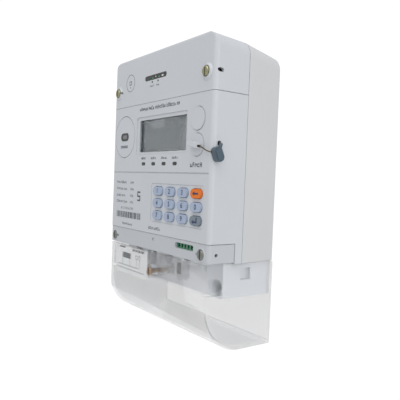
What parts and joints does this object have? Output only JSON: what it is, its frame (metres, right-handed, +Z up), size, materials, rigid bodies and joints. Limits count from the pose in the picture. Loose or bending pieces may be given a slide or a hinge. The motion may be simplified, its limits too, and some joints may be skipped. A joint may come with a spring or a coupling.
{
  "type": "prepaid electricity meter",
  "caption": "Wall-mounted single-phase prepayment meter with keypad, display and a clear cover over its terminals.",
  "frame": {"origin": "middle of the base's back face, on the wall plane", "axes": "+X right as the front is seen, +Y into the wall, +Z up"},
  "size_m": [0.1355, 0.0588, 0.1956],
  "materials": {
    "case_plastic": "satin",
    "key_rubber": "matte",
    "key_orange": "matte",
    "key_grey": "matte",
    "mat_rubber": "matte",
    "clear_plastic": "gloss",
    "window_plastic": "gloss",
    "dark_lens": "gloss",
    "glass": "gloss",
    "block_plastic": "satin",
    "green_plastic": "satin",
    "board": "satin",
    "brass": "satin",
    "copper": "satin",
    "zinc_steel": "satin",
    "yellow_zinc": "satin",
    "copper_screw": "satin",
    "black_plastic": "satin",
    "capacitor_can": "satin",
    "seal_plastic": "satin",
    "wire": "satin",
    "paper": "matte"
  },
  "bodies": {
    "module_cover_body": {"module_cover": "case_plastic", "module_window": "window_plastic"},
    "terminal_cover_body": {"terminal_cover": "clear_plastic", "wiring_label": "paper"},
    "hanger": {"hanger_bracket": "zinc_steel"},
    "button_upper_body": {"button_upper": "case_plastic"},
    "button_lower_body": {"button_lower": "case_plastic"},
    "key_1_body": {"key_1": "key_rubber"},
    "key_2_body": {"key_2": "key_rubber"},
    "key_3_body": {"key_3": "key_rubber"},
    "key_delete_body": {"key_delete": "key_orange"},
    "key_4_body": {"key_4": "key_rubber"},
    "key_5_body": {"key_5": "key_rubber"},
    "key_6_body": {"key_6": "key_rubber"},
    "key_0_body": {"key_0": "key_rubber"},
    "key_7_body": {"key_7": "key_rubber"},
    "key_8_body": {"key_8": "key_rubber"},
    "key_9_body": {"key_9": "key_rubber"},
    "key_enter_body": {"key_enter": "key_grey"},
    "module_screw_left_body": {"module_screw_left": "yellow_zinc"},
    "band_screw_left_body": {"band_screw_left": "yellow_zinc"},
    "module_screw_right_body": {"module_screw_right": "yellow_zinc"},
    "band_screw_right_body": {"band_screw_right": "yellow_zinc"},
    "cover_screw_body": {"cover_screw": "copper_screw"},
    "case": {"aux_connector": "green_plastic", "battery": "zinc_steel", "buzzer": "black_plastic", "capacitors": "capacitor_can", "case_gasket": "mat_rubber", "case_screws": "zinc_steel", "clamp_screws": "zinc_steel", "comm_module": "block_plastic", "cover_screw_insert": "brass", "current_shunt": "copper", "display_board": "board", "display_window": "window_plastic", "front_cover": "case_plastic", "infrared_pair": "black_plastic", "keypad_frame": "case_plastic", "keypad_mat": "mat_rubber", "lamp_windows": "window_plastic", "latching_relay": "black_plastic", "lcd_glass": "glass", "lcd_holder": "block_plastic", "load_bar": "copper", "neutral_bar": "copper", "optical_port_lens": "dark_lens", "optical_port_plate": "case_plastic", "power_board": "board", "rear_base": "case_plastic", "screw_band": "case_plastic", "seal_body": "seal_plastic", "seal_wire": "wire", "tamper_switch": "black_plastic", "terminal_block": "block_plastic", "terminal_cage_1": "brass", "terminal_cage_2": "brass", "terminal_cage_3": "brass", "terminal_cage_4": "brass", "transformer": "black_plastic"}
  },
  "joints": [
    {"name": "module_cover_lift_off", "type": "slide", "parent": "case", "child": "module_cover_body", "axis": [0, -1, 0], "range_m": [0, 0.04]},
    {"name": "terminal_cover_lift_off", "type": "slide", "parent": "case", "child": "terminal_cover_body", "axis": [0, -1, 0], "range_m": [0, 0.075]},
    {"name": "hanger_slide", "type": "slide", "parent": "case", "child": "hanger", "axis": [0, 0, 1], "range_m": [0, 0.015]},
    {"name": "button_upper_press", "type": "slide", "parent": "case", "child": "button_upper_body", "axis": [0, 1, 0], "range_m": [0, 0.001], "stiffness_N_per_m": 300, "springref_m": -0.001},
    {"name": "button_lower_press", "type": "slide", "parent": "case", "child": "button_lower_body", "axis": [0, 1, 0], "range_m": [0, 0.001], "stiffness_N_per_m": 300, "springref_m": -0.001},
    {"name": "key_1_press", "type": "slide", "parent": "case", "child": "key_1_body", "axis": [0, 1, 0], "range_m": [0, 0.001], "stiffness_N_per_m": 300, "springref_m": -0.001},
    {"name": "key_2_press", "type": "slide", "parent": "case", "child": "key_2_body", "axis": [0, 1, 0], "range_m": [0, 0.001], "stiffness_N_per_m": 300, "springref_m": -0.001},
    {"name": "key_3_press", "type": "slide", "parent": "case", "child": "key_3_body", "axis": [0, 1, 0], "range_m": [0, 0.001], "stiffness_N_per_m": 300, "springref_m": -0.001},
    {"name": "key_delete_press", "type": "slide", "parent": "case", "child": "key_delete_body", "axis": [0, 1, 0], "range_m": [0, 0.001], "stiffness_N_per_m": 300, "springref_m": -0.001},
    {"name": "key_4_press", "type": "slide", "parent": "case", "child": "key_4_body", "axis": [0, 1, 0], "range_m": [0, 0.001], "stiffness_N_per_m": 300, "springref_m": -0.001},
    {"name": "key_5_press", "type": "slide", "parent": "case", "child": "key_5_body", "axis": [0, 1, 0], "range_m": [0, 0.001], "stiffness_N_per_m": 300, "springref_m": -0.001},
    {"name": "key_6_press", "type": "slide", "parent": "case", "child": "key_6_body", "axis": [0, 1, 0], "range_m": [0, 0.001], "stiffness_N_per_m": 300, "springref_m": -0.001},
    {"name": "key_0_press", "type": "slide", "parent": "case", "child": "key_0_body", "axis": [0, 1, 0], "range_m": [0, 0.001], "stiffness_N_per_m": 300, "springref_m": -0.001},
    {"name": "key_7_press", "type": "slide", "parent": "case", "child": "key_7_body", "axis": [0, 1, 0], "range_m": [0, 0.001], "stiffness_N_per_m": 300, "springref_m": -0.001},
    {"name": "key_8_press", "type": "slide", "parent": "case", "child": "key_8_body", "axis": [0, 1, 0], "range_m": [0, 0.001], "stiffness_N_per_m": 300, "springref_m": -0.001},
    {"name": "key_9_press", "type": "slide", "parent": "case", "child": "key_9_body", "axis": [0, 1, 0], "range_m": [0, 0.001], "stiffness_N_per_m": 300, "springref_m": -0.001},
    {"name": "key_enter_press", "type": "slide", "parent": "case", "child": "key_enter_body", "axis": [0, 1, 0], "range_m": [0, 0.001], "stiffness_N_per_m": 300, "springref_m": -0.001},
    {"name": "module_screw_left_turn", "type": "hinge", "parent": "module_cover_body", "child": "module_screw_left_body", "pos_m": [-0.0575, -0.0545, 0.0602], "axis": [0, 1, 0], "continuous": true},
    {"name": "band_screw_left_turn", "type": "hinge", "parent": "case", "child": "band_screw_left_body", "pos_m": [-0.0575, -0.0545, -0.0506], "axis": [0, 1, 0], "continuous": true},
    {"name": "module_screw_right_turn", "type": "hinge", "parent": "module_cover_body", "child": "module_screw_right_body", "pos_m": [0.0575, -0.0545, 0.0602], "axis": [0, 1, 0], "continuous": true},
    {"name": "band_screw_right_turn", "type": "hinge", "parent": "case", "child": "band_screw_right_body", "pos_m": [0.0575, -0.0545, -0.0506], "axis": [0, 1, 0], "continuous": true},
    {"name": "cover_screw_turn", "type": "hinge", "parent": "terminal_cover_body", "child": "cover_screw_body", "pos_m": [0.0005, -0.0545, -0.07], "axis": [0, 1, 0], "continuous": true}
  ]
}
